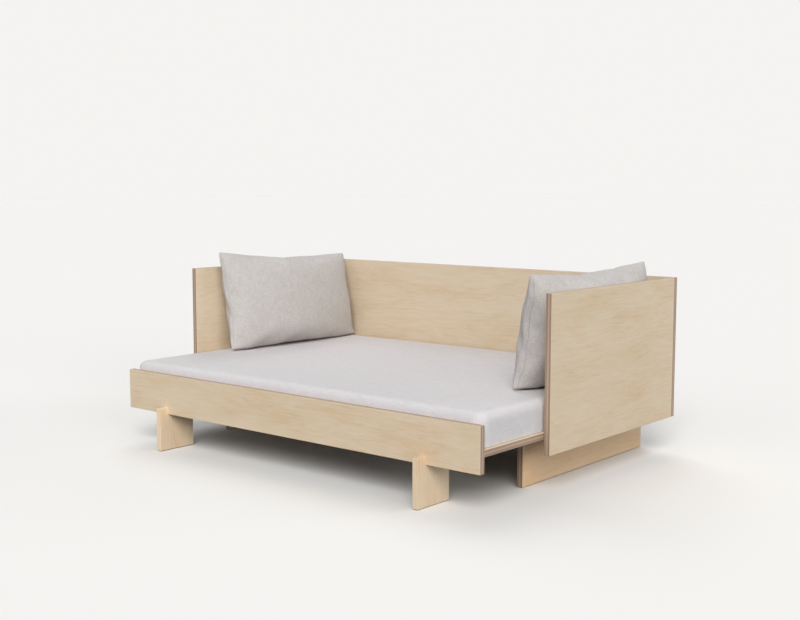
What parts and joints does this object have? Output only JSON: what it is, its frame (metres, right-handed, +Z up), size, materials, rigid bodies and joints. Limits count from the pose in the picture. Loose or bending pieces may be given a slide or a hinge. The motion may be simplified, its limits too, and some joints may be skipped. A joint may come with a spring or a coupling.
{
  "type": "sofa bed",
  "caption": "Plywood sofa bed, shown opened: the slatted front slides in under the arms while the back part of the foam mattress folds up as a backrest.",
  "frame": {"origin": "on the floor, under the middle of the box of the opened bed", "axes": "+X along the back panel, +Y from the pull-out front to the back panel, +Z up"},
  "size_m": [2.1, 1.502, 0.8596],
  "materials": {
    "plywood": "satin",
    "leg_plywood": "satin",
    "mattress_fabric": "matte",
    "pillow_fabric": "matte",
    "foam": "matte",
    "pillow_filling": "matte",
    "felt": "matte",
    "steel": "satin"
  },
  "bodies": {
    "frame": {"back_panel": "plywood", "left_arm_panel": "plywood", "right_arm_panel": "plywood", "left_base_panel": "plywood", "right_base_panel": "plywood", "front_cross_beam": "plywood", "rear_cross_beam": "plywood", "rear_ledger": "plywood", "fixed_slat_1": "plywood", "fixed_slat_10": "plywood", "fixed_slat_2": "plywood", "fixed_slat_3": "plywood", "fixed_slat_4": "plywood", "fixed_slat_5": "plywood", "fixed_slat_6": "plywood", "fixed_slat_7": "plywood", "fixed_slat_8": "plywood", "fixed_slat_9": "plywood", "arm_brackets": "steel", "base_felt_pads": "felt", "back_panel_screws": "steel", "rear_ledger_screws": "steel", "fixed_slat_screws": "steel", "bracket_screws": "steel"},
    "pullout": {"front_rail": "plywood", "left_front_leg": "leg_plywood", "right_front_leg": "leg_plywood", "rail_ledger": "plywood", "pullout_batten": "plywood", "pullout_slat_1": "plywood", "pullout_slat_10": "plywood", "pullout_slat_11": "plywood", "pullout_slat_2": "plywood", "pullout_slat_3": "plywood", "pullout_slat_4": "plywood", "pullout_slat_5": "plywood", "pullout_slat_6": "plywood", "pullout_slat_7": "plywood", "pullout_slat_8": "plywood", "pullout_slat_9": "plywood", "leg_felt_pads": "felt", "pullout_slat_screws": "steel", "rail_ledger_screws": "steel", "leg_screws": "steel", "seat_mattress_foam": "foam", "seat_mattress_cover": "mattress_fabric"},
    "back_section": {"back_mattress_foam": "foam", "back_mattress_cover": "mattress_fabric"},
    "left_pillow": {"left_pillow_insert": "pillow_filling", "left_pillow_cover": "pillow_fabric"},
    "right_pillow": {"right_pillow_insert": "pillow_filling", "right_pillow_cover": "pillow_fabric"}
  },
  "joints": [
    {"name": "pullout_slide", "type": "slide", "parent": "frame", "child": "pullout", "axis": [0, 1, 0], "range_m": [0, 0.404], "deforming": ["left_pillow_insert", "left_pillow_cover", "right_pillow_insert", "right_pillow_cover"]},
    {"name": "back_section_fold", "type": "hinge", "parent": "frame", "child": "back_section", "pos_m": [0, 0.653, 0.321], "axis": [-1, 0, 0], "range_deg": [0, 90]},
    {"name": "left_pillow_shift", "type": "slide", "parent": "frame", "child": "left_pillow", "axis": [0, -1, 0], "range_m": [0, 0.09]},
    {"name": "right_pillow_shift", "type": "slide", "parent": "frame", "child": "right_pillow", "axis": [0, -1, 0], "range_m": [0, 0.09]}
  ],
  "couplings": [
    {"joint": "back_section_fold", "follows": "pullout_slide", "rad_per_m": 3.8881},
    {"joint": "left_pillow_shift", "follows": "pullout_slide", "ratio": 0.2227},
    {"joint": "right_pillow_shift", "follows": "pullout_slide", "ratio": 0.2227}
  ]
}
